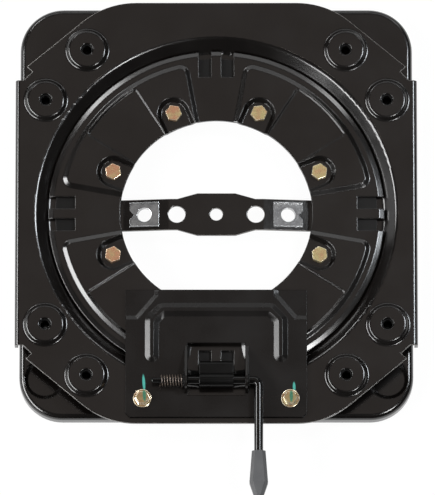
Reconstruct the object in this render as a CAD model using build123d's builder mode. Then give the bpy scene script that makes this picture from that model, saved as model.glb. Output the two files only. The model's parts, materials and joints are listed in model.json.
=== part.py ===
"""Swivel seat base for a camper: a pressed base tray, a turning top plate held down by an index disc,
and a sprung lever latch that locks the seat at each quarter turn. Millimetres, +Z up, the lever
towards -Y, the origin on the swivel axis at the level that the base stands on."""

import os
from math import atan2, cos, degrees, hypot, radians, sin

from build123d import *

os.makedirs("parts", exist_ok=True)

# Sheet thicknesses and clearances
sheet = 3.0
bracket_sheet = 2.5
running_gap = 0.2
slip_gap = 0.05
side_gap = 0.3
lift_gap = 0.5

# Fastener sizes: M8 bolts, weld nuts, rivets
bolt_d = 8.0
bolt_length = 14.0
head_af = 13.0
head_height = 5.3
flange_head_af = 11.0
flange_d = 16.6
flange_height = 1.6
nut_af = 14.0
nut_height = 6.5
bolt_hole = 9.0
fixing_hole = 10.5
rivet_d = 6.0
rivet_head_d = 11.0
rivet_head_height = 1.6

# Seat fixing patterns: where their bosses lie on the top plate
wide_inset = 27.0
wide_y = 207.0
long_x = 232.0
long_inset = 44.0

# Base tray
base_width = 352.0
base_length = 379.0
base_offset = 3.4
base_corner = 39.0
base_height = 14.0
base_bend = 5.0
base_hole_step = 2.0
plateau_run = 2.5
plateau_join = 4.0
foot_floor_r = 10.0
foot_run = 6.8
foot_join = 0.4
drain_inset_x = 22.6
drain_inset_y = 36.6
drain_hole_r = 3.0
drain_land_r = 10.0
drain_slope = 3.0
drain_floor = 2.0
drain_depth = 2.5

# Slide rings above and below the dish floor
lower_ring = 3.8
upper_ring = 2.0
ring_band = 22.0
ring_margin = 5.9
lip_wall = 3.7
lip_rise = 2.8
dish_land = 3.7

# Top plate
plate_width = 360.0
plate_length = 388.0
end_flat = 144.0
end_arc = 75.0
end_angle = 40.0
corner_inset = 10.0
relief_depth = 5.0
relief_drop = 4.6
flange_gap = 8.0
flange_relief = 7.0
flange_drop = 9.0
flange_bend = 4.0
dish_run = 11.5
dish_depth = 10.5
dish_bend = 6.0
dish_join = 2.4
boss_top_r = 16.3
boss_foot_r = 19.1
boss_rise = 3.3
boss_bend = 3.0
boss_join = 1.5
boss_gap = 0.3

# Index disc
rim_inset = 10.9
rim_run = 4.5
rim_drop = 1.5
bolt_land = 11.5
hole_land = 14.0
bolt_count = 8
quarters = 4
pad_angle = 69.4
pad_inset = 9.0
pad_rise = 2.0
pad_run = 4.0
pad_corner = 9.0
sub_angle = 25.0
sub_inset = 6.0
sub_drop = 1.2
sub_run = 1.2
sub_corner = 2.0
pocket_depth = 2.0
pocket_r = 11.0
pocket_run = 3.5
notch_width = 11.0
notch_inset = 4.6
notch_depth = 24.0

# Centre strap and its clip nuts
bar_end_gap = 4.5
bar_end_width = 28.5
bar_mid_width = 38.8
bar_mid_flat = 17.0
bar_mid_end = 35.0
bar_rise = 5.3
bar_rise_run = 42.0
bar_flat_edge = 4.0
bar_bend = 12.0
bar_corner = 4.0
bar_sweep = 20.0
mid_hole_d = 11.3
big_hole_d = 15.3
big_hole_x = 35.4
clip_hole_d = 12.8
clip_inset = 19.7
clip_length = 26.5
clip_width = 22.5
clip_sheet = 1.0
clip_collar_wall = 0.9
clip_collar_height = 4.5
clip_lip = 1.6
clip_notch = 4.0
rivet_edge = 9.0
rivet_y = 7.0

# Latch bracket, measured in from its edges, and its window and ears, measured from the rod
bracket_width = 162.0
bracket_overhang = 14.0
bracket_edge = 5.0
bracket_corner = 4.0
drop = 1.5
drop_run = 4.0
drop_length = 23.5
drop_side = 9.0
drop_top = 25.5
drop_lead = 4.0
bead_width = 12.5
bead_rise = 2.5
bead_slope = 62.0
bead_side = 23.5
bead_inset = 18.5
bead_cut = 9.5
bead_bend = 4.0
bead_past_rod = 25.0
window_width = 51.6
window_inner = 36.0
window_outer = 12.0
ear_inner = 33.0
ear_outer = 10.0
ear_r = 8.5
bracket_bolt_side = 15.0
bracket_bolt_edge = 17.0

# Lever, pawl and spring
rod_d = 8.0
stub_d = 4.8
stub_spare = 6.7
rod_out = 6.5
rod_rise = 7.0
lever_gap = 3.0
lever_bend = 5.0
lever_length = 90.0
bush_wall = 1.0
bush_flange_r = 5.9
bush_flange = 1.4
pawl_plate = 4.0
pawl_arm = 19.0
pawl_drop = 1.0
pawl_hub_wall = 2.6
pawl_bend = 5.0
tooth_height = 4.5
spring_d = 10.4
spring_wire = 1.2
spring_turns = 8
spring_steps = 12
spring_pitch = 2.45
grip_lap = 25.0
grip_length = 41.0
grip_top = 12.2
grip_wide = 16.5
grip_end = 8.5
grip_wide_at = 28.5
grip_chamfer = 3.0

# Heights of the stack, from the floor up
dish_under = base_height + lower_ring + running_gap
dish_floor = dish_under + sheet
disc_under = dish_floor + running_gap + upper_ring
disc_top = disc_under + sheet
pad_top = disc_top + pad_rise
plateau_top = disc_under - pocket_depth
plateau_under = plateau_top - sheet
pocket_floor = plateau_top + sheet
plate_top = dish_floor + dish_depth
plate_under = plate_top - sheet
boss_top = plate_top + boss_rise
bracket_top = plate_top + bracket_sheet
bar_mid_top = plateau_under + bar_rise
rod_z = bracket_top + rod_rise

# Fixing patterns that follow from the plates
wide_x = plate_width - 2 * wide_inset
long_y = plate_length - 2 * long_inset

# Radii from the outside in: the dish just clears the bosses, and the rest fits inside it
boss_join_r = boss_foot_r + boss_join
dish_join_r = min(hypot(wide_x, wide_y), hypot(long_x, long_y)) / 2 - boss_join_r - boss_gap
dish_r = dish_join_r - dish_join
dish_floor_r = dish_r - dish_run
disc_r = dish_r - rim_inset
pad_r = disc_r - pad_inset
sub_r = pad_r - sub_inset
notch_r = disc_r - notch_depth
ring_outer_r = dish_floor_r - ring_margin
ring_inner_r = ring_outer_r - ring_band
dish_inner_r = ring_inner_r - dish_land
lip_outer_r = dish_inner_r - side_gap
lip_inner_r = lip_outer_r - lip_wall
plateau_foot_r = lip_inner_r - side_gap
plateau_join_r = plateau_foot_r + plateau_join
plateau_r = plateau_foot_r - plateau_run
bolt_circle = 2 * (plateau_r - bolt_land)
bolt_angle = 360 / bolt_count / 2
hole_r = bolt_circle / 2 - hole_land
base_hole_r = hole_r + base_hole_step

# Centre strap: its ends lie under the plateau
bar_reach = plateau_r - bar_end_gap
bar_rise_end = base_hole_r - bar_flat_edge
bar_rise_start = bar_rise_end - bar_rise_run
clip_x = bar_rise_end - clip_inset
rivet_x = bar_reach - rivet_edge

# Latch: the bracket spans from the centre hole to the plate's edge, the rod lies beyond the disc
half_bracket = bracket_width / 2
bracket_inner_y = bracket_overhang - hole_r
bracket_outer_y = bracket_edge - plate_length / 2
rod_y = -disc_r - rod_out
ear_face_x = window_width / 2 + bracket_sheet
bush_r = rod_d / 2 + bush_wall
bush_end_x = ear_face_x + bush_flange
lever_x = bush_end_x + lever_gap + lever_bend
lever_end_y = rod_y - lever_length
grip_start_y = lever_end_y + grip_lap
pawl_y = rod_y + pawl_arm
bracket_bolt_x = half_bracket - bracket_bolt_side
bracket_bolt_y = bracket_outer_y + bracket_bolt_edge

boss_places = [
    (sx * x / 2, sy * y / 2)
    for x, y in ((wide_x, wide_y), (long_x, long_y))
    for sx in (-1, 1)
    for sy in (-1, 1)
]
foot_places = boss_places[:4]
drain_x = base_width / 2 - drain_inset_x
drain_y = base_offset - base_length / 2 + drain_inset_y
drain_places = [(-drain_x, drain_y), (drain_x, drain_y)]
bracket_bolt_places = [(-bracket_bolt_x, bracket_bolt_y), (bracket_bolt_x, bracket_bolt_y)]


def bent_ring(upper, bend=0.0):
    """A ring of bent sheet: the line of its upper face, given as radius and height, turned about Z."""
    with BuildPart() as ring:
        with BuildSketch(Plane.XZ) as profile:
            with BuildLine():
                Polyline(*upper)
                offset(amount=sheet, kind=Kind.INTERSECTION, side=Side.RIGHT)
            make_face()
            if bend:
                corners = [profile.vertices().sort_by_distance(point)[0] for point in upper[1:-1]]
                fillet(corners, bend)
        revolve(axis=Axis.Z)
    return ring.part


def sector(angle, radius, corner):
    """A flat wedge about +X from inside the centre hole out to a radius, with round outer corners."""
    half = radians(angle / 2)
    inner = hole_r / 2
    with BuildSketch() as wedge:
        with BuildLine():
            low = (radius * cos(half), -radius * sin(half))
            high = (radius * cos(half), radius * sin(half))
            Line((inner * cos(half), -inner * sin(half)), low)
            ThreePointArc(low, (radius, 0), high)
            Line(high, (inner * cos(half), inner * sin(half)))
            Line((inner * cos(half), inner * sin(half)), (inner * cos(half), -inner * sin(half)))
        make_face()
        fillet(wedge.vertices().group_by(Axis.X)[-1], corner)
    return wedge.sketch


def pocket_outline(radius):
    """The outline of a bolt pocket about +X: round behind the bolt, open towards the centre hole."""
    with BuildSketch() as outline:
        with Locations((bolt_circle / 2, 0)):
            Circle(radius)
            Rectangle(bolt_circle / 2, 2 * radius, align=(Align.MAX, Align.CENTER))
    return outline.sketch


def tray_block(inset):
    """The tray's skin moved in by an inset, as a solid block down to the floor."""
    with BuildPart() as block:
        with BuildSketch():
            with Locations((0, base_offset)):
                RectangleRounded(base_width - 2 * inset, base_length - 2 * inset, base_corner - inset)
        extrude(amount=base_height - inset)
        fillet(block.faces().sort_by(Axis.Z)[-1].edges(), base_bend - inset)
    return block.part


def weld_nut():
    """A hexagon weld nut that hangs from the origin."""
    with BuildPart() as nut:
        with BuildSketch():
            RegularPolygon(nut_af / 2, 6, major_radius=False)
            Circle(bolt_d / 2 + slip_gap, mode=Mode.SUBTRACT)
        extrude(amount=-nut_height)
    return nut.part


def hex_bolt(flange):
    """A hexagon bolt with its seat at the origin, with or without a round flange under the head."""
    with BuildPart() as bolt:
        with BuildSketch():
            RegularPolygon((flange_head_af if flange else head_af) / 2, 6, major_radius=False)
        extrude(amount=head_height)
        if flange:
            with BuildSketch():
                Circle(flange_d / 2)
            extrude(amount=flange_height)
        with BuildSketch():
            Circle(bolt_d / 2)
        extrude(amount=-bolt_length)
    return bolt.part


foot_ring = bent_ring(
    [
        (fixing_hole / 2, sheet),
        (foot_floor_r, sheet),
        (foot_floor_r + foot_run, base_height),
        (foot_floor_r + foot_run + foot_join, base_height),
    ]
)
drain_floor_r = drain_land_r + drain_slope
drain_rise_r = drain_floor_r + drain_floor
drain_r = drain_rise_r + drain_slope
drain_ring = bent_ring(
    [
        (drain_hole_r, base_height),
        (drain_land_r, base_height),
        (drain_floor_r, base_height - drain_depth),
        (drain_rise_r, base_height - drain_depth),
        (drain_r, base_height),
        (drain_r + foot_join, base_height),
    ]
)
plateau_ring = bent_ring(
    [
        (base_hole_r, plateau_top),
        (plateau_r, plateau_top),
        (plateau_foot_r, base_height),
        (plateau_join_r, base_height),
    ]
)
boss_ring = bent_ring(
    [
        (fixing_hole / 2, boss_top),
        (boss_top_r, boss_top),
        (boss_foot_r, plate_top),
        (boss_join_r, plate_top),
    ],
    boss_bend,
)
dish_ring = bent_ring(
    [
        (dish_inner_r, dish_floor),
        (dish_floor_r, dish_floor),
        (dish_r, plate_top),
        (dish_join_r, plate_top),
    ],
    dish_bend,
)
tray_skin = tray_block(0)
tray_hollow = tray_block(sheet)

# Base tray: turned-down rim, a raised plateau for the disc, four pressed feet and two drain rings
with BuildPart() as base_plate:
    add(tray_skin)
    add(tray_hollow, mode=Mode.SUBTRACT)
    with BuildSketch():
        Circle(plateau_join_r)
        with Locations(*foot_places):
            Circle(foot_floor_r + foot_run + foot_join)
        with Locations(*drain_places):
            Circle(drain_r + foot_join)
    extrude(amount=base_height, mode=Mode.SUBTRACT)
    add(plateau_ring)
    with Locations(*foot_places):
        add(foot_ring)
    with Locations(*drain_places):
        add(drain_ring)
    with BuildSketch(Plane.XY.offset(plateau_under)):
        with PolarLocations(bolt_circle / 2, bolt_count, start_angle=bolt_angle):
            Circle(bolt_hole / 2)
        with GridLocations(2 * rivet_x, 2 * rivet_y, 2, 2):
            Circle(rivet_d / 2 + slip_gap)
    extrude(amount=sheet, mode=Mode.SUBTRACT)

# Lower slide ring: the dish floor turns on it, and its inner lip keeps the dish centred
with BuildPart() as lower_slide_ring:
    with BuildSketch(Plane.XY.offset(base_height)):
        Circle(ring_outer_r)
        Circle(lip_inner_r, mode=Mode.SUBTRACT)
    extrude(amount=lower_ring)
    with BuildSketch(Plane.XY.offset(base_height + lower_ring)):
        Circle(lip_outer_r)
        Circle(lip_inner_r, mode=Mode.SUBTRACT)
    extrude(amount=lip_rise)

# Upper slide ring: lies under the index disc, over the dish floor
with BuildPart() as upper_slide_ring:
    with BuildSketch(Plane.XY.offset(disc_under)):
        Circle(ring_outer_r)
        Circle(ring_inner_r, mode=Mode.SUBTRACT)
    extrude(amount=-upper_ring)

# Index disc: raised quadrants, bolt pockets open to the centre, and lock notches at each quarter
quadrant = sector(pad_angle, pad_r, pad_corner)
quadrant_hollow = sector(pad_angle - degrees(sheet / pad_r), pad_r - sheet / 2, pad_corner)
sub_pad = sector(sub_angle, sub_r, sub_corner)
pocket = pocket_outline(pocket_r)
pocket_skin = pocket_outline(pocket_r + sheet / 2)
pocket_taper = degrees(atan2(pocket_run, pocket_depth + pad_rise))
pad_taper = degrees(atan2(pad_run, pad_rise))
sub_taper = degrees(atan2(sub_run, sub_drop))
rim_taper = degrees(atan2(rim_run, rim_drop))

with BuildPart() as index_disc:
    with BuildSketch(Plane.XY.offset(disc_under)):
        Circle(disc_r)
    extrude(amount=sheet - rim_drop)
    with BuildSketch(Plane.XY.offset(disc_top - rim_drop)):
        Circle(disc_r)
    extrude(amount=rim_drop, taper=rim_taper)
    with BuildSketch(Plane.XY.offset(disc_top)):
        with PolarLocations(0, quarters, start_angle=180 / quarters):
            add(quadrant)
    extrude(amount=pad_rise, taper=pad_taper)
    with BuildSketch(Plane.XY.offset(disc_under)):
        with PolarLocations(0, quarters, start_angle=180 / quarters):
            add(quadrant_hollow)
    extrude(amount=pad_rise, taper=pad_taper, mode=Mode.SUBTRACT)
    with BuildSketch(Plane.XY.offset(pad_top - sub_drop - sheet)):
        with PolarLocations(0, quarters, start_angle=180 / quarters):
            add(sub_pad)
    extrude(amount=sheet)
    with BuildSketch(Plane.XY.offset(pad_top - sub_drop)):
        with PolarLocations(0, quarters, start_angle=180 / quarters):
            add(sub_pad)
    extrude(amount=sub_drop, taper=-sub_taper, mode=Mode.SUBTRACT)
    with BuildSketch(Plane.XY.offset(plateau_top)):
        with PolarLocations(0, bolt_count, start_angle=bolt_angle):
            add(pocket_skin)
    extrude(amount=pocket_depth + pad_rise, taper=-pocket_taper)
    with BuildSketch(Plane.XY.offset(pocket_floor)):
        with PolarLocations(0, bolt_count, start_angle=bolt_angle):
            add(pocket)
    extrude(amount=pocket_depth + pad_rise, taper=-pocket_taper, mode=Mode.SUBTRACT)
    with BuildSketch(Plane.XY.offset(plateau_top)):
        Circle(hole_r)
        with PolarLocations(bolt_circle / 2, bolt_count, start_angle=bolt_angle):
            Circle(bolt_hole / 2)
    extrude(amount=pad_top - plateau_top, mode=Mode.SUBTRACT)
    with BuildSketch(Plane.XY.offset(disc_under)):
        with PolarLocations(notch_r, quarters):
            with Locations((0, -notch_inset - notch_width / 2), (0, notch_inset + notch_width / 2)):
                Rectangle(disc_r - notch_r + sheet, notch_width, align=(Align.MIN, Align.CENTER))
    extrude(amount=sheet, mode=Mode.SUBTRACT)

disc_bolt = hex_bolt(flange=False)
with BuildPart() as disc_bolts:
    with PolarLocations(bolt_circle / 2, bolt_count, start_angle=bolt_angle):
        with Locations((0, 0, pocket_floor)):
            add(disc_bolt)

sheet_nut = weld_nut()
with BuildPart() as disc_nuts:
    with PolarLocations(bolt_circle / 2, bolt_count, start_angle=bolt_angle):
        with Locations((0, 0, plateau_under)):
            add(sheet_nut)

# Centre strap: riveted under the plateau at both ends, rising to a wider middle
bar_slope = atan2(bar_rise, bar_rise_end - bar_rise_start)
clip_z = plateau_under + bar_rise * (bar_rise_end - clip_x) / (bar_rise_end - bar_rise_start)
clip_planes = [
    Plane(
        origin=(side * clip_x, 0, clip_z),
        x_dir=(side * cos(bar_slope), 0, -sin(bar_slope)),
        z_dir=(side * sin(bar_slope), 0, cos(bar_slope)),
    )
    for side in (-1, 1)
]

with BuildPart() as centre_bar:
    with BuildSketch(Plane.XZ):
        with BuildLine():
            FilletPolyline(
                (-bar_reach, plateau_under),
                (-bar_rise_end, plateau_under),
                (-bar_rise_start, bar_mid_top),
                (bar_rise_start, bar_mid_top),
                (bar_rise_end, plateau_under),
                (bar_reach, plateau_under),
                radius=bar_bend,
            )
            offset(amount=sheet, side=Side.RIGHT)
        make_face()
    extrude(amount=bar_mid_width / 2, both=True)
    with BuildSketch() as bar_plan:
        with BuildLine():
            Polyline(
                (-bar_reach, bar_end_width / 2),
                (-bar_mid_end, bar_end_width / 2),
                (-bar_mid_flat, bar_mid_width / 2),
                (bar_mid_flat, bar_mid_width / 2),
                (bar_mid_end, bar_end_width / 2),
                (bar_reach, bar_end_width / 2),
                (bar_reach, -bar_end_width / 2),
                (bar_mid_end, -bar_end_width / 2),
                (bar_mid_flat, -bar_mid_width / 2),
                (-bar_mid_flat, -bar_mid_width / 2),
                (-bar_mid_end, -bar_end_width / 2),
                (-bar_reach, -bar_end_width / 2),
                close=True,
            )
        make_face()
        ends = bar_plan.vertices().filter_by(lambda corner: abs(corner.X) > bar_rise_end)
        shoulders = bar_plan.vertices().filter_by(lambda corner: abs(corner.X) < bar_rise_end)
        fillet(ends, bar_corner)
        fillet(shoulders, bar_sweep)
        Circle(mid_hole_d / 2, mode=Mode.SUBTRACT)
        with GridLocations(2 * big_hole_x, 0, 2, 1):
            Circle(big_hole_d / 2, mode=Mode.SUBTRACT)
        with GridLocations(2 * rivet_x, 2 * rivet_y, 2, 2):
            Circle(rivet_d / 2 + slip_gap, mode=Mode.SUBTRACT)
    extrude(amount=plate_top, mode=Mode.INTERSECT)
    with BuildSketch(*clip_planes):
        Circle(clip_hole_d / 2 + clip_collar_wall + slip_gap)
    extrude(amount=sheet, both=True, mode=Mode.SUBTRACT)

with BuildPart() as bar_rivets:
    with BuildSketch(Plane.XY.offset(plateau_under - sheet)):
        with GridLocations(2 * rivet_x, 2 * rivet_y, 2, 2):
            Circle(rivet_d / 2)
    extrude(amount=2 * sheet)
    with BuildSketch(Plane.XY.offset(plateau_under - sheet)):
        with GridLocations(2 * rivet_x, 2 * rivet_y, 2, 2):
            Circle(rivet_head_d / 2)
    extrude(amount=-rivet_head_height)

# Clip nuts: a spring leaf with turned-up long edges, a notch at its outer end and a drawn collar
with BuildPart() as clip_nuts:
    with BuildSketch(*clip_planes):
        Rectangle(clip_length, clip_width)
        with Locations((clip_length / 2, 0)):
            RegularPolygon(clip_notch, 4, mode=Mode.SUBTRACT)
    extrude(amount=clip_sheet)
    with BuildSketch(*clip_planes):
        with GridLocations(0, clip_width - clip_sheet, 1, 2):
            Rectangle(clip_length, clip_sheet)
    extrude(amount=clip_sheet + clip_lip)
    with BuildSketch(*clip_planes):
        Circle(clip_hole_d / 2 + clip_collar_wall)
    extrude(amount=-clip_collar_height)
    with BuildSketch(*clip_planes):
        Circle(clip_hole_d / 2)
    extrude(amount=clip_collar_height, both=True, mode=Mode.SUBTRACT)

# Top plate: round dish, turned-down side flanges and raised fixing bosses
end_turn = radians(90 - end_angle)
end_centre_y = plate_length / 2 - end_arc
end_x = end_flat / 2 + end_arc * cos(end_turn)
end_y = end_centre_y + end_arc * sin(end_turn)
corner_x = plate_width / 2 - corner_inset
corner_y = end_y - (corner_x - end_x) * cos(end_turn) / sin(end_turn)
flange_length = 2 * (corner_y - relief_drop - flange_gap)
flange_root_x = plate_width / 2 - flange_relief

with BuildPart() as top_plate:
    with BuildSketch(Plane.XY.offset(plate_under)):
        with BuildLine():
            Line((0, plate_length / 2), (end_flat / 2, plate_length / 2))
            JernArc((end_flat / 2, plate_length / 2), (1, 0), end_arc, -end_angle)
            Polyline(
                (end_x, end_y),
                (corner_x, corner_y),
                (corner_x - relief_depth, corner_y - relief_drop),
                (flange_root_x, flange_length / 2),
                (flange_root_x, 0),
            )
            mirror(about=Plane.XZ)
            mirror(about=Plane.YZ)
        make_face()
        Circle(dish_join_r, mode=Mode.SUBTRACT)
        with Locations(*boss_places):
            Circle(boss_join_r, mode=Mode.SUBTRACT)
        with Locations(*bracket_bolt_places):
            Circle(bolt_hole / 2, mode=Mode.SUBTRACT)
    extrude(amount=sheet)
    with BuildSketch(Plane.XZ):
        with BuildLine():
            FilletPolyline(
                (flange_root_x, plate_top),
                (plate_width / 2, plate_top),
                (plate_width / 2, plate_under - flange_drop),
                radius=flange_bend,
            )
            offset(amount=sheet, side=Side.RIGHT)
        make_face()
        mirror(about=Plane.YZ)
    extrude(amount=flange_length / 2, both=True)
    add(dish_ring)
    with Locations(*boss_places):
        add(boss_ring)

with BuildPart() as seat_nuts:
    with Locations(*[(x, y, boss_top - sheet) for x, y in boss_places]):
        add(sheet_nut)

# Latch bracket: lowered inner corners, a stiffening bead round the window, and two pivot ears
spare = 2 * drop_run
drop_y = bracket_inner_y - drop_length
raised_points = [
    (half_bracket + spare, bracket_outer_y - spare),
    (half_bracket + spare, drop_y),
    (half_bracket - drop_side, drop_y),
    (half_bracket - drop_top, bracket_inner_y - drop_lead),
    (half_bracket - drop_top, bracket_inner_y + spare),
]
raised_outline = raised_points + [(-x, y) for x, y in reversed(raised_points)]


def raised_block(foot):
    """The bracket's raised field as a block whose sloping sides start at a foot level."""
    with BuildPart() as block:
        with BuildSketch(Plane.XY.offset(foot)):
            Polygon(*raised_outline, align=None)
        with BuildSketch(Plane.XY.offset(foot + drop)):
            Polygon(*raised_outline, align=None)
            offset(amount=-drop_run, kind=Kind.INTERSECTION, mode=Mode.REPLACE)
        loft(ruled=True)
    return block.part


bead_x = half_bracket - bead_side
bead_y = bracket_inner_y - bead_inset
bead_end_y = rod_y + bead_past_rod


def bead_outline(width):
    """The bead's outline round the window at a given width."""
    with BuildSketch() as outline:
        with BuildLine():
            FilletPolyline(
                (-bead_x, bead_end_y),
                (-bead_x, bead_y - bead_cut),
                (-bead_x + bead_cut, bead_y),
                (bead_x - bead_cut, bead_y),
                (bead_x, bead_y - bead_cut),
                (bead_x, bead_end_y),
                radius=bead_bend,
            )
            offset(amount=width / 2)
        make_face()
    return outline.sketch


raised_upper = raised_block(bracket_top - drop)
raised_under = raised_block(plate_top - drop)
bead = bead_outline(bead_width)
bead_groove = bead_outline(bead_width - bracket_sheet)

with BuildPart() as latch_bracket:
    with BuildSketch(Plane.XY.offset(plate_top - drop)) as bracket_plan:
        with Locations((0, bracket_inner_y)):
            Rectangle(bracket_width, bracket_inner_y - bracket_outer_y, align=(Align.CENTER, Align.MAX))
        chamfer(bracket_plan.vertices().group_by(Axis.Y)[0], bracket_corner)
    extrude(amount=bracket_sheet)
    add(raised_upper)
    add(raised_under, mode=Mode.SUBTRACT)
    with BuildSketch(Plane.XY.offset(plate_top - drop)):
        add(bracket_plan.sketch_local)
    extrude(amount=drop + bracket_sheet, mode=Mode.INTERSECT)
    with BuildSketch(Plane.XY.offset(bracket_top)):
        add(bead)
    extrude(amount=bead_rise, taper=bead_slope)
    with BuildSketch(Plane.XY.offset(plate_top)):
        add(bead_groove)
    extrude(amount=bead_rise, taper=bead_slope, mode=Mode.SUBTRACT)
    with BuildSketch(Plane.XY.offset(plate_top)):
        with Locations((0, rod_y + window_inner)):
            Rectangle(window_width, window_inner + window_outer, align=(Align.CENTER, Align.MAX))
        with Locations(*bracket_bolt_places):
            Circle(bolt_hole / 2)
    extrude(amount=bracket_sheet, mode=Mode.SUBTRACT)
    with BuildSketch(Plane.YZ.offset(-ear_face_x), Plane.YZ.offset(window_width / 2)):
        with Locations((rod_y, rod_z)):
            Circle(ear_r)
        with Locations((rod_y - ear_outer, plate_top)):
            Rectangle(ear_inner + ear_outer, bracket_sheet, align=(Align.MIN, Align.MIN))
        make_hull()
        with Locations((rod_y, rod_z)):
            Circle(bush_r + slip_gap, mode=Mode.SUBTRACT)
    extrude(amount=bracket_sheet)

bracket_bolt = hex_bolt(flange=True)
with BuildPart() as bracket_bolts:
    with Locations(*[(x, y, bracket_top) for x, y in bracket_bolt_places]):
        add(bracket_bolt)

with BuildPart() as bracket_nuts:
    with Locations(*[(x, y, plate_under) for x, y in bracket_bolt_places]):
        add(sheet_nut)


def bush(bore):
    """A flanged bush along +X: its body fills an ear, its flange lies on the ear's outer face."""
    with BuildPart() as sleeve:
        with BuildSketch(Plane.YZ):
            Circle(bush_r)
        extrude(amount=bracket_sheet)
        with BuildSketch(Plane.YZ.offset(bracket_sheet)):
            Circle(bush_flange_r)
        extrude(amount=bush_flange)
        with BuildSketch(Plane.YZ):
            Circle(bore / 2 + slip_gap)
        extrude(amount=bracket_sheet + bush_flange, mode=Mode.SUBTRACT)
    return sleeve.part


stub_sleeve = bush(stub_d)
rod_sleeve = bush(rod_d)

with BuildPart() as left_bush:
    with Locations(Location((-window_width / 2, rod_y, rod_z), (0, 0, 180))):
        add(stub_sleeve)

with BuildPart() as right_bush:
    with Locations((window_width / 2, rod_y, rod_z)):
        add(rod_sleeve)

# Latch spring: coils beside the left ear, with a leg that stands on the bracket
spring_r = (spring_d - spring_wire) / 2
spring_x = -bush_end_x - running_gap - spring_wire / 2

turn = radians(360 / spring_steps)
coil_points = [
    (
        spring_x - spring_pitch * step / spring_steps,
        rod_y - spring_r * cos(turn * step),
        rod_z + spring_r * sin(turn * step),
    )
    for step in range(spring_turns * spring_steps + 1)
]

with BuildPart() as latch_spring:
    with BuildLine() as coil:
        Polyline((spring_x, rod_y - spring_r, bracket_top), *coil_points)
    with BuildSketch(Plane.XY.offset(bracket_top)):
        with Locations((spring_x, rod_y - spring_r)):
            Rectangle(spring_wire, spring_wire)
    sweep(path=coil.line, transition=Transition.RIGHT)

# Lever rod: a thinner stub through the left ear, then a bend into the lever
stub_start_x = -window_width / 2 + side_gap
stub_end_x = spring_x - spring_turns * spring_pitch - spring_wire / 2 - stub_spare
with BuildPart() as lever_rod:
    with BuildLine() as rod_path:
        Line((stub_start_x, rod_y, rod_z), (lever_x - lever_bend, rod_y, rod_z))
        TangentArc(
            (lever_x - lever_bend, rod_y, rod_z),
            (lever_x, rod_y - lever_bend, rod_z),
            tangent=(1, 0, 0),
        )
        Line((lever_x, rod_y - lever_bend, rod_z), (lever_x, lever_end_y, rod_z))
    with BuildSketch(Plane.YZ.offset(stub_start_x)):
        with Locations((rod_y, rod_z)):
            Circle(rod_d / 2)
    sweep(path=rod_path.line)
    with BuildSketch(Plane.YZ.offset(stub_start_x)):
        with Locations((rod_y, rod_z)):
            Circle(stub_d / 2)
    extrude(amount=stub_end_x - stub_start_x)

# Pawl: a hub on the rod, an arm over the disc's rim and two teeth for a pair of notches
arm_top = rod_z - pawl_drop
tooth_tip = pad_top + lift_gap
tooth_inner_x = notch_inset + side_gap
tooth_outer_x = notch_inset + notch_width - side_gap

with BuildPart() as pawl:
    with BuildSketch(Plane.YZ) as pawl_side:
        with BuildLine():
            FilletPolyline(
                (rod_y, arm_top),
                (pawl_y, arm_top),
                (pawl_y, tooth_tip),
                radius=pawl_bend,
            )
            offset(amount=pawl_plate, side=Side.RIGHT)
        make_face()
        with Locations((rod_y, rod_z)):
            Circle(rod_d / 2 + pawl_hub_wall)
            Circle(rod_d / 2 + slip_gap, mode=Mode.SUBTRACT)
    extrude(amount=tooth_outer_x, both=True)
    with Locations((0, pawl_y - pawl_plate / 2, tooth_tip)):
        Box(
            2 * tooth_inner_x,
            pawl_plate,
            tooth_height,
            align=(Align.CENTER, Align.CENTER, Align.MIN),
            mode=Mode.SUBTRACT,
        )

# Lever grip: the same outline cut from above and from the side, its long edges bevelled
grip_base = (lever_x, grip_start_y, rod_z)
grip_plan = Plane(origin=grip_base, x_dir=(0, -1, 0), z_dir=(0, 0, 1))
grip_side = Plane(origin=grip_base, x_dir=(0, -1, 0), z_dir=(1, 0, 0))
with BuildPart() as lever_grip:
    with BuildSketch(grip_plan) as grip_outline:
        with BuildLine():
            Polyline(
                (0, 0),
                (0, grip_top / 2),
                (grip_wide_at, grip_wide / 2),
                (grip_length, grip_end / 2),
                (grip_length, 0),
            )
            mirror(about=Plane.XZ)
        make_face()
    extrude(amount=grip_wide, both=True)
    with BuildSketch(grip_side):
        add(grip_outline.sketch_local)
    extrude(amount=grip_wide, both=True, mode=Mode.INTERSECT)
    long_edges = lever_grip.edges().filter_by(lambda edge: abs((edge @ 1 - edge @ 0).Y) > rod_d)
    chamfer(long_edges, grip_chamfer)
    with BuildSketch(Plane.XZ.offset(-grip_start_y)):
        with Locations((lever_x, rod_z)):
            Circle(rod_d / 2 + slip_gap)
    extrude(amount=grip_start_y - lever_end_y, mode=Mode.SUBTRACT)

pieces = {
    "base_plate": base_plate,
    "lower_slide_ring": lower_slide_ring,
    "upper_slide_ring": upper_slide_ring,
    "index_disc": index_disc,
    "disc_bolts": disc_bolts,
    "disc_nuts": disc_nuts,
    "centre_bar": centre_bar,
    "bar_rivets": bar_rivets,
    "clip_nuts": clip_nuts,
    "top_plate": top_plate,
    "seat_nuts": seat_nuts,
    "latch_bracket": latch_bracket,
    "bracket_bolts": bracket_bolts,
    "bracket_nuts": bracket_nuts,
    "left_bush": left_bush,
    "right_bush": right_bush,
    "latch_spring": latch_spring,
    "lever_rod": lever_rod,
    "pawl": pawl,
    "lever_grip": lever_grip,
}
for name, piece in pieces.items():
    piece.part.label = name
    export_step(piece.part, f"parts/{name}.step")
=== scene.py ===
# %% [markdown]
# Swivel seat base, dressed for its picture.
# The solids come in as a fixed frame, in metres: +Z is up, the lever points along -Y and the origin
# is on the swivel axis. Every piece here is either a finished copy of a solid, or a new piece that
# stands for one.

# %% Load the frame
import json
import math

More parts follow.
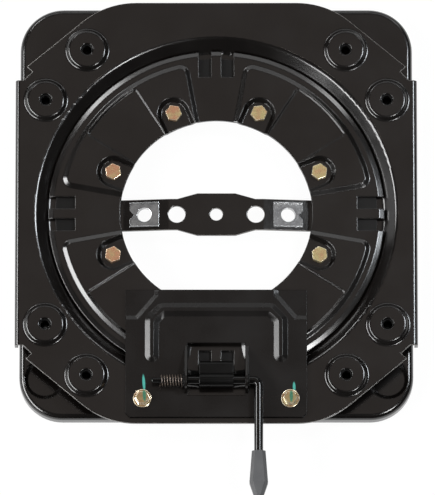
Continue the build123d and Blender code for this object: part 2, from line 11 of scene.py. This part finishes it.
import bpy
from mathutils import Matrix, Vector


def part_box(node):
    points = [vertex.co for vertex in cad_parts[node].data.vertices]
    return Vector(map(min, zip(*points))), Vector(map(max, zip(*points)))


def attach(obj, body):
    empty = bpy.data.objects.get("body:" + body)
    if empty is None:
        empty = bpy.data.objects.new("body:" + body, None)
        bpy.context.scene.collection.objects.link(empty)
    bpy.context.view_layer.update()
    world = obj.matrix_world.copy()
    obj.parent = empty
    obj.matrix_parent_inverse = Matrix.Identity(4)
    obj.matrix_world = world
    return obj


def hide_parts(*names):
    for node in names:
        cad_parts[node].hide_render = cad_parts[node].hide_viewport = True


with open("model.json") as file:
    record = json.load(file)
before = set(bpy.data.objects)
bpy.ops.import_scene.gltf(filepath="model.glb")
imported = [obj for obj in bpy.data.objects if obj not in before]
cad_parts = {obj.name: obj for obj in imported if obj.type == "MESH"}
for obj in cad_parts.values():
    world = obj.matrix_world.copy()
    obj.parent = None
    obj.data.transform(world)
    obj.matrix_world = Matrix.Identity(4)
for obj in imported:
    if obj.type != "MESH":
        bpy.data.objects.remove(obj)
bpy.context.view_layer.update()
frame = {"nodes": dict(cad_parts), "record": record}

bodies = frame["record"]["behaviour"]["bodies"]
body_of_node = {node: body for body, nodes in bodies.items() for node in nodes}
mm = 0.001

# %% [markdown]
# The object is pressed, bent and turned metal, and its cut edges are never knife sharp. We could
# model every edge again by hand, but a copy of the solid already has the right size, so we weld it,
# let flat areas become single faces, and give its steep edges a narrow rounded bevel. The bevel has
# a material of its own, a paler coat: partly paint that is thin and rubbed there, partly a painted
# highlight along the edge.


# %% A helper that turns a solid into a finished piece
weld_gap = 0.005 * mm
flat_within = math.radians(0.5)
steep_edge = math.radians(60)
crease = math.radians(14)


def only(piece):
    """Makes one object the only selected and active one."""
    bpy.ops.object.select_all(action="DESELECT")
    piece.select_set(True)
    bpy.context.view_layer.objects.active = piece


def finished_copy(node, finish, edge_finish, edge, reshape=None):
    """A welded copy of a solid with its cut edges rounded by a width in millimetres."""
    piece = bpy.data.objects.new(node + "_finished", frame["nodes"][node].data.copy())
    bpy.context.scene.collection.objects.link(piece)
    only(piece)
    bpy.ops.object.mode_set(mode="EDIT")
    bpy.ops.mesh.select_all(action="SELECT")
    bpy.ops.mesh.remove_doubles(threshold=weld_gap)
    if reshape:
        reshape(piece)
    bpy.ops.mesh.select_all(action="SELECT")
    bpy.ops.mesh.dissolve_limited(angle_limit=flat_within)
    bpy.ops.object.mode_set(mode="OBJECT")
    piece.data.materials.clear()
    piece.data.materials.append(finish)
    piece.data.materials.append(edge_finish)
    bevel = piece.modifiers.new("rounded edges", "BEVEL")
    bevel.width = edge * mm
    bevel.segments = 2
    bevel.limit_method = "ANGLE"
    bevel.angle_limit = steep_edge
    bevel.material = 1
    bpy.ops.object.modifier_apply(modifier=bevel.name)
    bpy.ops.object.shade_smooth()
    bpy.ops.object.mode_set(mode="EDIT")
    bpy.ops.mesh.select_mode(type="EDGE")
    bpy.ops.mesh.select_all(action="DESELECT")
    bpy.ops.mesh.edges_select_sharp(sharpness=crease)
    bpy.ops.mesh.mark_sharp()
    bpy.ops.object.mode_set(mode="OBJECT")
    weighted = piece.modifiers.new("flat faces stay flat", "WEIGHTED_NORMAL")
    weighted.keep_sharp = True
    bpy.ops.object.modifier_apply(modifier=weighted.name)
    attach(piece, body_of_node[node])
    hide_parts(node)
    print(node, "finished:", len(piece.data.polygons), "faces")
    return piece


# %% [markdown]
# Every finish is built from a few small node groups of our own: noise on the piece's own coordinates,
# a stretch of its middle values, a colour ramp and a bump. Working in the piece's coordinates keeps a
# pattern the same size on every piece, because all of them stay in metres.


# %% Helpers for finishes
def new_finish(name):
    """A material with one shader, and the piece's own coordinates."""
    finish = bpy.data.materials.new(name)
    finish.use_nodes = True
    nodes = finish.node_tree.nodes
    links = finish.node_tree.links
    place = nodes.new("ShaderNodeTexCoord")
    return finish, nodes, links, nodes["Principled BSDF"], place.outputs["Object"]


def noise(nodes, links, place, scale, detail=3.0):
    """A noise texture; scale is in patterns per metre."""
    texture = nodes.new("ShaderNodeTexNoise")
    texture.inputs["Scale"].default_value = scale
    texture.inputs["Detail"].default_value = detail
    links.new(place, texture.inputs["Vector"])
    return texture.outputs["Fac"]


def spread(nodes, links, value, low, high, from_low=0.3, from_high=0.7):
    """Stretches a range of values over another range."""
    stretch = nodes.new("ShaderNodeMapRange")
    stretch.inputs["From Min"].default_value = from_low
    stretch.inputs["From Max"].default_value = from_high
    stretch.inputs["To Min"].default_value = low
    stretch.inputs["To Max"].default_value = high
    links.new(value, stretch.inputs["Value"])
    return stretch.outputs["Result"]


def ramp(nodes, links, value, *stops):
    """A colour ramp between two stops, each a position and a colour."""
    colours = nodes.new("ShaderNodeValToRGB")
    for element, (position, colour) in zip(colours.color_ramp.elements, stops):
        element.position = position
        element.color = (*colour, 1.0)
    links.new(value, colours.inputs["Fac"])
    return colours.outputs["Color"]


def skin(nodes, links, shader, height, strength, distance, rounded=None):
    """Adds a bump to the shader, over the normals of rounded edges where they are given."""
    bump = nodes.new("ShaderNodeBump")
    if rounded:
        links.new(rounded, bump.inputs["Normal"])
    bump.inputs["Strength"].default_value = strength
    bump.inputs["Distance"].default_value = distance
    links.new(height, bump.inputs["Height"])
    links.new(bump.outputs["Normal"], shader.inputs["Normal"])


def sums(nodes, links, operation, first, second):
    """One step of arithmetic on two values; each is a socket or a number."""
    step = nodes.new("ShaderNodeMath")
    step.operation = operation
    for socket, value in zip(step.inputs, (first, second)):
        if isinstance(value, (int, float)):
            socket.default_value = value
        else:
            links.new(value, socket)
    return step.outputs["Value"]


def over(nodes, links, below, above, amount):
    """Lays one colour over another by an amount."""
    colour_a, colour_b, colour_result = 6, 7, 2
    mix = nodes.new("ShaderNodeMix")
    mix.data_type = "RGBA"
    links.new(amount, mix.inputs["Factor"])
    links.new(below, mix.inputs[colour_a])
    mix.inputs[colour_b].default_value = (*above, 1.0)
    return mix.outputs[colour_result]


# %% [markdown]
# After the latch was bolted down, a stroke of teal paint was brushed over each of its two bolts, so
# that a bolt that works loose shows. A stroke could be a thin piece of its own, but paint has no
# thickness to speak of, so it is a mask in the finish: an ellipse round the stroke's middle, seen
# from above. The strokes on the bracket and on the bolt heads are two lists. Each stroke has its middle,
# its turn in degrees, and its half length and half width, in millimetres.


# %% Brushed strokes
def stroke(nodes, links, place, middle, turn, half_length, half_width):
    """A mask that is 1 along a stroke's middle and falls to 0 at its outline."""
    outline = nodes.new("ShaderNodeMapping")
    outline.vector_type = "TEXTURE"
    outline.inputs["Location"].default_value = (middle[0] * mm, middle[1] * mm, 0)
    outline.inputs["Rotation"].default_value = (0, 0, math.radians(turn))
    outline.inputs["Scale"].default_value = (half_length * mm, half_width * mm, 1)
    links.new(place, outline.inputs["Vector"])
    falloff = nodes.new("ShaderNodeTexGradient")
    falloff.gradient_type = "SPHERICAL"
    links.new(outline.outputs["Vector"], falloff.inputs["Vector"])
    return falloff.outputs["Fac"]


def brushed(nodes, links, place, colour, strokes, teal):
    """Lays teal strokes over a colour."""
    for middle, turn, half_length, half_width in strokes:
        mask = stroke(nodes, links, place, middle, turn, half_length, half_width)
        cover = spread(nodes, links, mask, 0.0, 1.0, from_low=0.1, from_high=0.4)
        colour = over(nodes, links, colour, teal, cover)
    return colour


bracket_strokes = [((-64.6, -157.5), -86, 9.5, 1.6), ((69.4, -161.5), -88, 6.0, 1.6)]
head_strokes = [((-64.1, -170.0), -86, 7.5, 2.0), ((66.8, -170.6), -90, 7.5, 2.0)]
torque_teal = (0.08, 0.42, 0.35)
head_teal = (0.14, 0.40, 0.25)
print("strokes:", len(bracket_strokes), "on the bracket,", len(head_strokes), "on the bolt heads")

# %% [markdown]
# Paint pulls away from a sheet's cut edges and wears off them first, and those edges also catch the
# light, so thin pale lines run there. Here the pale colour is painted: partly worn paint, partly a
# painted highlight. We could paint those lines by hand along every edge. A shader can find them
# instead: it rounds the normals near an edge, and where those leave the true ones, the edge is near.
# The same rounded normals let light roll over the edge. Slow noise breaks the lines up.


# %% Edges of a painted sheet
def rounded_edges(nodes, radius):
    """Normals that turn over an edge as if it were rounded by a radius in millimetres."""
    rounded = nodes.new("ShaderNodeBevel")
    rounded.samples = 8
    rounded.inputs["Radius"].default_value = radius * mm
    return rounded.outputs["Normal"]


def edge_wear_and_highlight_mask(nodes, links, place, rounded):
    """A mask that is 1 along an edge, where the rounded normals leave the flat ones, with breaks; it lays
    the pale colour of worn paint and a painted highlight.
    """
    flat = nodes.new("ShaderNodeNewGeometry").outputs["True Normal"]
    agreement = nodes.new("ShaderNodeVectorMath")
    agreement.operation = "DOT_PRODUCT"
    links.new(rounded, agreement.inputs[0])
    links.new(flat, agreement.inputs[1])
    edge = spread(nodes, links, agreement.outputs["Value"], 1.0, 0.0, from_low=0.72, from_high=0.84)
    patches = noise(nodes, links, place, scale=90.0)
    breaks = spread(nodes, links, patches, low=0.35, high=1.0, from_low=0.4, from_high=0.6)
    # Marked points get neither the worn edge colour nor the painted edge highlight.
    plain_black_mark = nodes.new("ShaderNodeAttribute")
    plain_black_mark.attribute_name = "plain_black_rim"
    open_edge = sums(nodes, links, "SUBTRACT", edge, plain_black_mark.outputs["Fac"])
    return sums(nodes, links, "MULTIPLY", sums(nodes, links, "MAXIMUM", open_edge, 0.0), breaks)


# %% [markdown]
# The pressings are black: a thin dipped or powder coat, glossy but not a mirror, with a warm brown
# cast. A plain black would look like plastic, so the coat gets a gloss that changes slowly over the
# sheet and a very fine skin. The large sheets' narrow edge bevels have a lighter coat of their own,
# for worn paint and a painted highlight both. The latch bracket is a little duller all over, and the
# pawl and the lever are darker. The seat's nuts are darker too, a deeper black that paints the shade
# in the holes over them and round the rivets.


# %% Black paint
def black_paint(name, dark, pale, gloss_low, gloss_high, bend=0.0, edge_wear_and_highlight=None, strokes=(), shine=1.0):
    """A black coat; bend rounds its edges, in millimetres, and edge_wear_and_highlight is the pale colour
    laid along them, for worn paint and a painted highlight.
    """
    finish, nodes, links, shader, place = new_finish(name)
    cloud = noise(nodes, links, place, scale=25.0)
    colour = ramp(nodes, links, cloud, (0.35, dark), (0.65, pale))
    rounded = rounded_edges(nodes, bend) if bend else None
    if edge_wear_and_highlight:
        # The pale colour along the edges is worn paint and a painted highlight.
        colour = over(nodes, links, colour, edge_wear_and_highlight, edge_wear_and_highlight_mask(nodes, links, place, rounded))
    colour = brushed(nodes, links, place, colour, strokes, torque_teal)
    links.new(colour, shader.inputs["Base Color"])
    links.new(spread(nodes, links, cloud, gloss_low, gloss_high), shader.inputs["Roughness"])
    shader.inputs["Specular IOR Level"].default_value = shine
    orange_peel = noise(nodes, links, place, scale=900.0)
    skin(nodes, links, shader, orange_peel, strength=0.05, distance=0.2 * mm, rounded=rounded)
    return finish


brown_black = (0.0042, 0.0033, 0.0029), (0.0062, 0.005, 0.0044)
# Lighter colours for the big sheets' edge bevels: worn paint, and a painted highlight along each edge.
worn_and_highlit_beige = (0.09, 0.082, 0.074), (0.3, 0.275, 0.25)
pawl_black = (0.0014, 0.0013, 0.0012), (0.003, 0.0028, 0.0026)
rod_black = (0.002, 0.0018, 0.0017), (0.004, 0.0037, 0.0034)
# A deeper copy of the plate's black paint: it paints the shade in the holes over the seat nuts and round
# the rivets.
painted_shade_black = (0.001, 0.0009, 0.0009), (0.002, 0.0018, 0.0017)
gloss = 0.14, 0.22
satin = 0.24, 0.32
# beige and grey are the pale colours laid along the sheets' edges: worn paint and a painted highlight.
beige = (0.50, 0.46, 0.41)
grey = (0.05, 0.048, 0.046)
paint = black_paint("black paint", *brown_black, *gloss, bend=1.6, edge_wear_and_highlight=beige)
disc_paint = black_paint("black paint on the disc", *brown_black, *gloss, bend=1.4, edge_wear_and_highlight=grey)
bracket_paint = black_paint("black paint on the bracket", *brown_black, *satin, bend=0.4,
                            strokes=bracket_strokes, shine=0.6)
# The edge bevels' coat: worn paint and a painted highlight together.
worn_and_highlit_edge = black_paint("worn paint edge with painted highlight", *worn_and_highlit_beige, gloss_low=0.2, gloss_high=0.32)
dull_edge = black_paint("painted bracket edge", *brown_black, *satin, shine=0.1)
latch_black = black_paint("latch black", *pawl_black, gloss_low=0.24, gloss_high=0.36, shine=0.3)
lever_black = black_paint("lever black", *rod_black, gloss_low=0.1, gloss_high=0.14, shine=0.6)
nut_black_painted_shade = black_paint("black weld nuts, painted shade", *painted_shade_black, gloss_low=0.5, gloss_high=0.6, shine=0.3)
print("finishes:", paint.name, worn_and_highlit_edge.name, latch_black.name)

# %% [markdown]
# The bolts are plated steel with a yellow passivated zinc skin, which shifts from straw to copper:
# the photo's bolts are more copper on the left and more straw on the right, so the stain drifts
# across the part. The clip nuts and the bolts' own nuts have plain zinc, and the spring is bare steel.
# They are metals, so most of their colour is in their reflection, and noise in colour and gloss keeps
# them from looking like gold.


# %% Zinc finishes
def zinc(name, pale, warm, gloss_low, gloss_high, strokes=(), drift=0.0):
    """A plated or bare metal; drift is how much its stain changes for each metre across the part."""
    finish, nodes, links, shader, place = new_finish(name)
    stain = noise(nodes, links, place, scale=140.0, detail=4.0)
    if drift:
        across = nodes.new("ShaderNodeSeparateXYZ")
        links.new(place, across.inputs["Vector"])
        shift = sums(nodes, links, "MULTIPLY", across.outputs["X"], drift)
        stain = sums(nodes, links, "SUBTRACT", stain, shift)
    colour = ramp(nodes, links, stain, (0.35, pale), (0.68, warm))
    colour = brushed(nodes, links, place, colour, strokes, head_teal)
    links.new(colour, shader.inputs["Base Color"])
    grain = noise(nodes, links, place, scale=700.0)
    links.new(spread(nodes, links, grain, gloss_low, gloss_high), shader.inputs["Roughness"])
    shader.inputs["Metallic"].default_value = 0.75
    skin(nodes, links, shader, grain, strength=0.12, distance=0.1 * mm)
    return finish


# Each finish has a pale and a warm colour, and its lowest and highest roughness.
straw_copper = (0.86, 0.72, 0.36), (0.86, 0.46, 0.27), 0.22, 0.34
# Paler copies of the zinc for the bevels of bolts and nuts: a painted highlight along each rim.
highlight_straw = (1.0, 0.93, 0.72), (1.0, 0.80, 0.60), 0.16, 0.26
deep_straw = (0.60, 0.48, 0.24), (0.56, 0.33, 0.17), 0.24, 0.36
copper_drift = 1.3
yellow_zinc = zinc("yellow zinc", *straw_copper, drift=copper_drift)
yellow_edge_highlight = zinc("yellow zinc, painted edge highlight", *highlight_straw, drift=copper_drift)
marked_zinc = zinc("yellow zinc with torque paint", *deep_straw, head_strokes)
marked_edge_highlight = zinc("yellow zinc with torque paint, painted edge highlight", *highlight_straw, head_strokes)
bright_zinc = zinc("bright zinc", (0.66, 0.67, 0.68), (0.52, 0.53, 0.55), 0.22, 0.38)
bright_edge_highlight = zinc("bright zinc, painted edge highlight", (0.85, 0.86, 0.88), (0.75, 0.76, 0.78), 0.2, 0.3)
clip_zinc = zinc("clip zinc", (0.56, 0.56, 0.56), (0.36, 0.36, 0.37), 0.12, 0.2)
spring_steel = zinc("oiled spring steel", (0.20, 0.16, 0.13), (0.12, 0.10, 0.09), 0.25, 0.4)
print("finishes:", yellow_zinc.name, bright_zinc.name, spring_steel.name)

# %% [markdown]
# The grip is a grey moulded plastic and the slide rings are a dark one. Moulded plastic has a fine
# even grain and a soft sheen, so both get a small bump and a roughness that barely changes.


# %% Plastics
def moulded(name, dark, pale, sheen):
    """A moulded plastic with one roughness, which its grain barely changes."""
    finish, nodes, links, shader, place = new_finish(name)
    grain = noise(nodes, links, place, scale=1200.0)
    tone = noise(nodes, links, place, scale=60.0)
    links.new(ramp(nodes, links, tone, (0.3, dark), (0.7, pale)), shader.inputs["Base Color"])
    change = 0.05
    links.new(spread(nodes, links, grain, sheen - change, sheen + change), shader.inputs["Roughness"])
    skin(nodes, links, shader, grain, strength=0.1, distance=0.1 * mm)
    return finish


grip_grey = moulded("grey grip plastic", (0.105, 0.106, 0.109), (0.128, 0.129, 0.132), sheen=0.4)
slide_black = moulded("slide ring plastic", (0.002, 0.0019, 0.0018), (0.004, 0.0038, 0.0036), sheen=0.35)
print("finishes:", grip_grey.name, slide_black.name)

# %% [markdown]
# Two places on the pressings need a hand. The tray's near corners have plain blind dimples in the
# photo, while the solid has a small holed land in each, so the copy is pressed flat there and its hole
# is closed. And the rims of the seat's bolt holes lie under the runners, where nothing rubs the paint
# off, so the top plate's points there are marked as plain black rims: they get neither the worn edge
# colour nor the painted edge highlight.


# %% Dimples and sheltered holes
def gaps(points, places):
    """How far each point lies from the nearest of some places, seen from above."""
    return [min(math.dist(point.co.xy, place) for place in places) for point in points]


def blind_dimples(piece):
    """Presses the near corners' dimples flat inside and closes their small holes."""
    low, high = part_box("base_plate")
    from_side, from_near = 22.6 * mm, 36.6 * mm
    dimple_r, hole_r = 14.5 * mm, 3.2 * mm
    floor_top, sheet = 11.5 * mm, 3.0 * mm
    upper_side = floor_top - 0.1 * sheet
    places = [(x, low[1] + from_near) for x in (low[0] + from_side, high[0] - from_side)]
    bpy.ops.mesh.select_all(action="DESELECT")
    bpy.ops.mesh.select_mode(type="FACE")
    bpy.ops.object.mode_set(mode="OBJECT")
    points = piece.data.vertices
    away = gaps(points, places)
    for point, gap in zip(points, away):
        if gap < dimple_r:
            point.co.z = floor_top if point.co.z > upper_side else floor_top - sheet
    for face in piece.data.polygons:
        face.select = all(away[index] < hole_r for index in face.vertices)
    bpy.ops.object.mode_set(mode="EDIT")
    bpy.ops.mesh.delete(type="FACE")
    bpy.ops.mesh.select_mode(type="EDGE")
    bpy.ops.mesh.select_non_manifold()
    bpy.ops.mesh.fill_holes(sides=0)
    bpy.ops.mesh.select_all(action="SELECT")
    bpy.ops.mesh.normals_make_consistent(inside=False)


def plain_black_rim(piece, places, reach):
    """Marks the points near some places, which get neither the worn edge colour nor the painted edge
    highlight.
    """
    marks = piece.data.attributes.new("plain_black_rim", "FLOAT", "POINT")
    near = [gap < reach for gap in gaps(piece.data.vertices, places)]
    marks.data.foreach_set("value", [float(mark) for mark in near])
    for face in piece.data.polygons:
        if all(near[index] for index in face.vertices):
            face.material_index = 0


# %% [markdown]
# Now each pressing gets its finished copy. The edge widths, in millimetres, follow how the piece is
# made: a sheared and painted sheet edge is about half a millimetre to a little over one round. The
# latch's pieces are darker than the sheets, so they have their own black.

# %% Dress the pressings
dressed = {
    "base_plate": finished_copy("base_plate", paint, worn_and_highlit_edge, edge=0.7, reshape=blind_dimples),
    "top_plate": finished_copy("top_plate", paint, worn_and_highlit_edge, edge=1.2),
    "index_disc": finished_copy("index_disc", disc_paint, worn_and_highlit_edge, edge=0.5),
    "centre_bar": finished_copy("centre_bar", paint, worn_and_highlit_edge, edge=0.5),
    "latch_bracket": finished_copy("latch_bracket", bracket_paint, dull_edge, edge=0.4),
    "pawl": finished_copy("pawl", latch_black, latch_black, edge=0.5),
    "lever_rod": finished_copy("lever_rod", lever_black, lever_black, edge=0.5),
}

runner_r = 7.5 * mm
seat_holes = []
for mount in frame["record"]["mounts"]:
    if mount["name"].startswith("seat_bolts"):
        half_x = mount["dims"]["spacing_x_mm"] / 2 * mm
        half_y = mount["dims"]["spacing_y_mm"] / 2 * mm
        seat_holes += [(x, y) for x in (-half_x, half_x) for y in (-half_y, half_y)]
plain_black_rim(dressed["top_plate"], seat_holes, runner_r)
print("sheltered holes:", len(seat_holes))

# %% [markdown]
# The fasteners and the moulded pieces follow, with the narrower edges of small parts. The disc's bolts
# sit close to the black walls of their pockets, where their colour would show as brown arcs that the
# photo doesn't have, so they are kept out of reflections.

# %% Dress the fasteners and the plastic pieces
# Each fastener's bevel gets a paler copy of its zinc, a painted highlight.
dressed["disc_bolts"] = finished_copy("disc_bolts", yellow_zinc, yellow_edge_highlight, edge=0.6)
dressed["disc_bolts"].visible_glossy = False
dressed["bracket_bolts"] = finished_copy("bracket_bolts", marked_zinc, marked_edge_highlight, edge=0.6)
for node in ("disc_nuts", "bracket_nuts"):
    dressed[node] = finished_copy(node, bright_zinc, bright_edge_highlight, edge=0.3)
# The seat nuts and the rivets get the deeper black, which paints the shade around them.
for node in ("seat_nuts", "bar_rivets"):
    dressed[node] = finished_copy(node, nut_black_painted_shade, nut_black_painted_shade, edge=0.4)
for node in ("lower_slide_ring", "upper_slide_ring", "left_bush", "right_bush"):
    dressed[node] = finished_copy(node, slide_black, slide_black, edge=0.2)
dressed["clip_nuts"] = finished_copy("clip_nuts", clip_zinc, bright_edge_highlight, edge=0.2)
dressed["lever_grip"] = finished_copy("lever_grip", grip_grey, grip_grey, edge=0.6)

# %% [markdown]
# The latch spring is wound from round wire. Its solid is a plain square-wire coil, so the real one is
# made here: a small circle, screwed round the lever's axis by a modifier, with a straight leg that
# stands on the bracket. Its reach comes from the solid's own box, and it has the same turns.

# %% Wind the spring
coil_low, coil_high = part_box("latch_spring")
wire = 1.2 * mm
wire_sides = 10
turns = 8
steps_each_turn = 28
wire_crease = math.radians(50)
coil_r = (coil_high[1] - coil_low[1]) / 2 - wire / 2
pitch = (coil_high[0] - coil_low[0] - wire) / turns
axis = Vector((
    coil_high[0] - wire / 2,
    (coil_low[1] + coil_high[1]) / 2,
    coil_high[2] - coil_r - wire / 2,
))

bpy.ops.object.select_all(action="DESELECT")
bpy.ops.mesh.primitive_circle_add(vertices=wire_sides, radius=wire / 2, location=axis)
spring = bpy.context.object
spring.name = "wound_spring"
bpy.ops.object.mode_set(mode="EDIT")
bpy.ops.mesh.select_all(action="SELECT")
bpy.ops.transform.translate(value=(0, -coil_r, 0))
bpy.ops.object.mode_set(mode="OBJECT")
coil = spring.modifiers.new("coil", "SCREW")
coil.axis = "X"
coil.angle = -2 * math.pi
coil.screw_offset = -pitch
coil.iterations = turns
coil.steps = steps_each_turn
bpy.ops.object.modifier_apply(modifier=coil.name)

leg_length = axis.z - coil_low[2]
bpy.ops.object.select_all(action="DESELECT")
bpy.ops.mesh.primitive_cylinder_add(
    vertices=wire_sides, radius=wire / 2, depth=leg_length,
    location=axis + Vector((0, -coil_r, -leg_length / 2)),
)
spring.select_set(True)
bpy.context.view_layer.objects.active = spring
bpy.ops.object.join()
bpy.ops.object.transform_apply(location=True, rotation=True, scale=True)
bpy.ops.object.mode_set(mode="EDIT")
bpy.ops.mesh.select_all(action="SELECT")
bpy.ops.mesh.fill_holes(sides=0)
bpy.ops.mesh.normals_make_consistent(inside=False)
bpy.ops.object.mode_set(mode="OBJECT")
bpy.ops.object.shade_smooth_by_angle(angle=wire_crease)
spring.data.materials.append(spring_steel)
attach(spring, body_of_node["latch_spring"])
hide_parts("latch_spring")
print("spring wound:", turns, "turns, radius", round(coil_r / mm, 2), "pitch", round(pitch / mm, 2))

# %% [markdown]
# The floor is plain white paper, a wide sheet with a faint unevenness from its fibres. A backdrop that
# curves up could stand behind it, but the camera looks down so steeply that the sheet fills its view.

# %% Floor
floor_width = 12.0
bpy.ops.object.select_all(action="DESELECT")
bpy.ops.mesh.primitive_plane_add(size=floor_width, location=(0, 0, 0))
floor = bpy.context.object
floor.name = "floor"
floor_paper, nodes, links, shader, place = new_finish("white paper")
fibre = noise(nodes, links, place, scale=3.0)
links.new(ramp(nodes, links, fibre, (0.3, (0.83, 0.83, 0.83)), (0.7, (0.86, 0.86, 0.86))),
          shader.inputs["Base Color"])
shader.inputs["Roughness"].default_value = 0.9
floor.data.materials.append(floor_paper)
print("floor laid:", floor_width, "m wide")

# %% [markdown]
# More light could make the paper white, but it would also bleach the object. So the camera sees the
# paper glowing, and so do reflections, and the background is an even white as in a catalogue picture,
# while the object's shadow still tones it a little. Under the tray the paper stays dark, because small
# holes that line up would otherwise shine. The dark patch is a square just inside the tray's rim, with
# a round place left white for the centre opening.

# %% White background
glow_strength = 1.03
glow_share = 0.93
rim_margin = 8 * mm
opening_share = 0.66
tray_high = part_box("base_plate")[1]
disc_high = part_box("index_disc")[1]
patch_half = tray_high[0] - rim_margin
opening_r = opening_share * disc_high[0]

under = nodes.new("ShaderNodeSeparateXYZ")
links.new(place, under.inputs["Vector"])
across = sums(nodes, links, "ABSOLUTE", under.outputs["X"], 0.0)
along = sums(nodes, links, "ABSOLUTE", under.outputs["Y"], 0.0)
in_tray = sums(nodes, links, "LESS_THAN", sums(nodes, links, "MAXIMUM", across, along), patch_half)
from_axis = nodes.new("ShaderNodeVectorMath")
from_axis.operation = "LENGTH"
links.new(place, from_axis.inputs[0])
past_opening = sums(nodes, links, "GREATER_THAN", from_axis.outputs["Value"], opening_r)
shaded = sums(nodes, links, "MULTIPLY", in_tray, past_opening)
lit = sums(nodes, links, "SUBTRACT", 1.0, shaded)

path = nodes.new("ShaderNodeLightPath")
direct = sums(nodes, links, "MAXIMUM", path.outputs["Is Camera Ray"], path.outputs["Is Glossy Ray"])
direct = sums(nodes, links, "MAXIMUM", direct, path.outputs["Is Transmission Ray"])
seen = sums(nodes, links, "MULTIPLY", direct, lit)
glow = nodes.new("ShaderNodeEmission")
glow.inputs["Strength"].default_value = glow_strength
mix = nodes.new("ShaderNodeMixShader")
links.new(sums(nodes, links, "MULTIPLY", seen, glow_share), mix.inputs["Fac"])
links.new(shader.outputs["BSDF"], mix.inputs[1])
links.new(glow.outputs["Emission"], mix.inputs[2])
links.new(mix.outputs["Shader"], nodes["Material Output"].inputs["Surface"])
print("paper dark within", round(patch_half, 3), "m, white again within", round(opening_r, 3), "m")

# %% [markdown]
# The photo looks down on the lever's side from a steep angle, and from far away: left and right edges
# run parallel. A long lens at ten metres gives the same view.

# %% Camera
photo_width = 435
mm_per_pixel = 0.8945
aim = Vector((1.07, -31.7, 27.5)) * mm
elevation = math.radians(76)
distance = 10.0
lens = bpy.data.cameras.new("camera")
lens.sensor_fit = "HORIZONTAL"
lens.lens = lens.sensor_width * distance / (photo_width * mm_per_pixel * mm)
lens.clip_end = 60
camera = bpy.data.objects.new("camera", lens)
bpy.context.scene.collection.objects.link(camera)
camera.location = aim + distance * Vector((0, -math.cos(elevation), math.sin(elevation)))
camera.rotation_euler = (math.pi / 2 - elevation, 0, 0)
bpy.context.scene.camera = camera
print("camera:", round(lens.lens), "mm lens at", distance, "m")

# %% [markdown]
# Black gloss shows only what it mirrors, so each lamp has a surface to draw. The flat sheet mirrors
# what hangs over the far side, so a dim warm panel there gives the flats their brown tone. A strong
# box on the left draws the bright lines on the bead and the bosses, and a low panel the dish's right
# wall. Two small lamps on the right, one of them cooler, draw the second lines, and three far lamps
# the slopes that face away from the camera. The near side is left dark.


# %% Light
def softbox(name, place, size, power, colour=(1, 1, 1)):
    """A rectangular lamp that faces the swivel axis."""
    lamp = bpy.data.lights.new(name, "AREA")
    lamp.shape = "RECTANGLE"
    lamp.size, lamp.size_y = size
    lamp.energy = power
    lamp.color = colour
    box = bpy.data.objects.new(name, lamp)
    bpy.context.scene.collection.objects.link(box)
    box.location = place
    box.rotation_euler = (-Vector(place)).to_track_quat("-Z", "Y").to_euler()


softbox("left softbox", (-1.5, -0.4, 1.1), size=(2.2, 0.5), power=36)
softbox("low left panel", (-2.2, 0.0, 0.3), size=(2.0, 0.5), power=2)
softbox("right lamp", (1.0, 0.4, 1.6), size=(0.5, 0.4), power=12, colour=(0.9, 0.95, 1.0))
softbox("front right lamp", (0.85, -0.85, 2.0), size=(0.4, 0.4), power=10)
softbox("overhead panel", (0.0, 0.75, 3.0), size=(1.6, 1.2), power=1.3, colour=(1.0, 0.86, 0.78))
softbox("far panel", (0.0, 1.8, 1.1), size=(2.0, 0.8), power=4.5)
softbox("far left lamp", (-0.93, 1.46, 1.36), size=(0.4, 0.3), power=3.5)
softbox("far right lamp", (0.93, 1.46, 1.36), size=(0.3, 0.3), power=1.5)

room_grey = (0.04, 0.04, 0.04)
world = bpy.data.worlds.new("room")
world.use_nodes = True
world.node_tree.nodes["Background"].inputs["Color"].default_value = (*room_grey, 1)
bpy.context.scene.world = world
bpy.context.scene.view_settings.view_transform = "Standard"
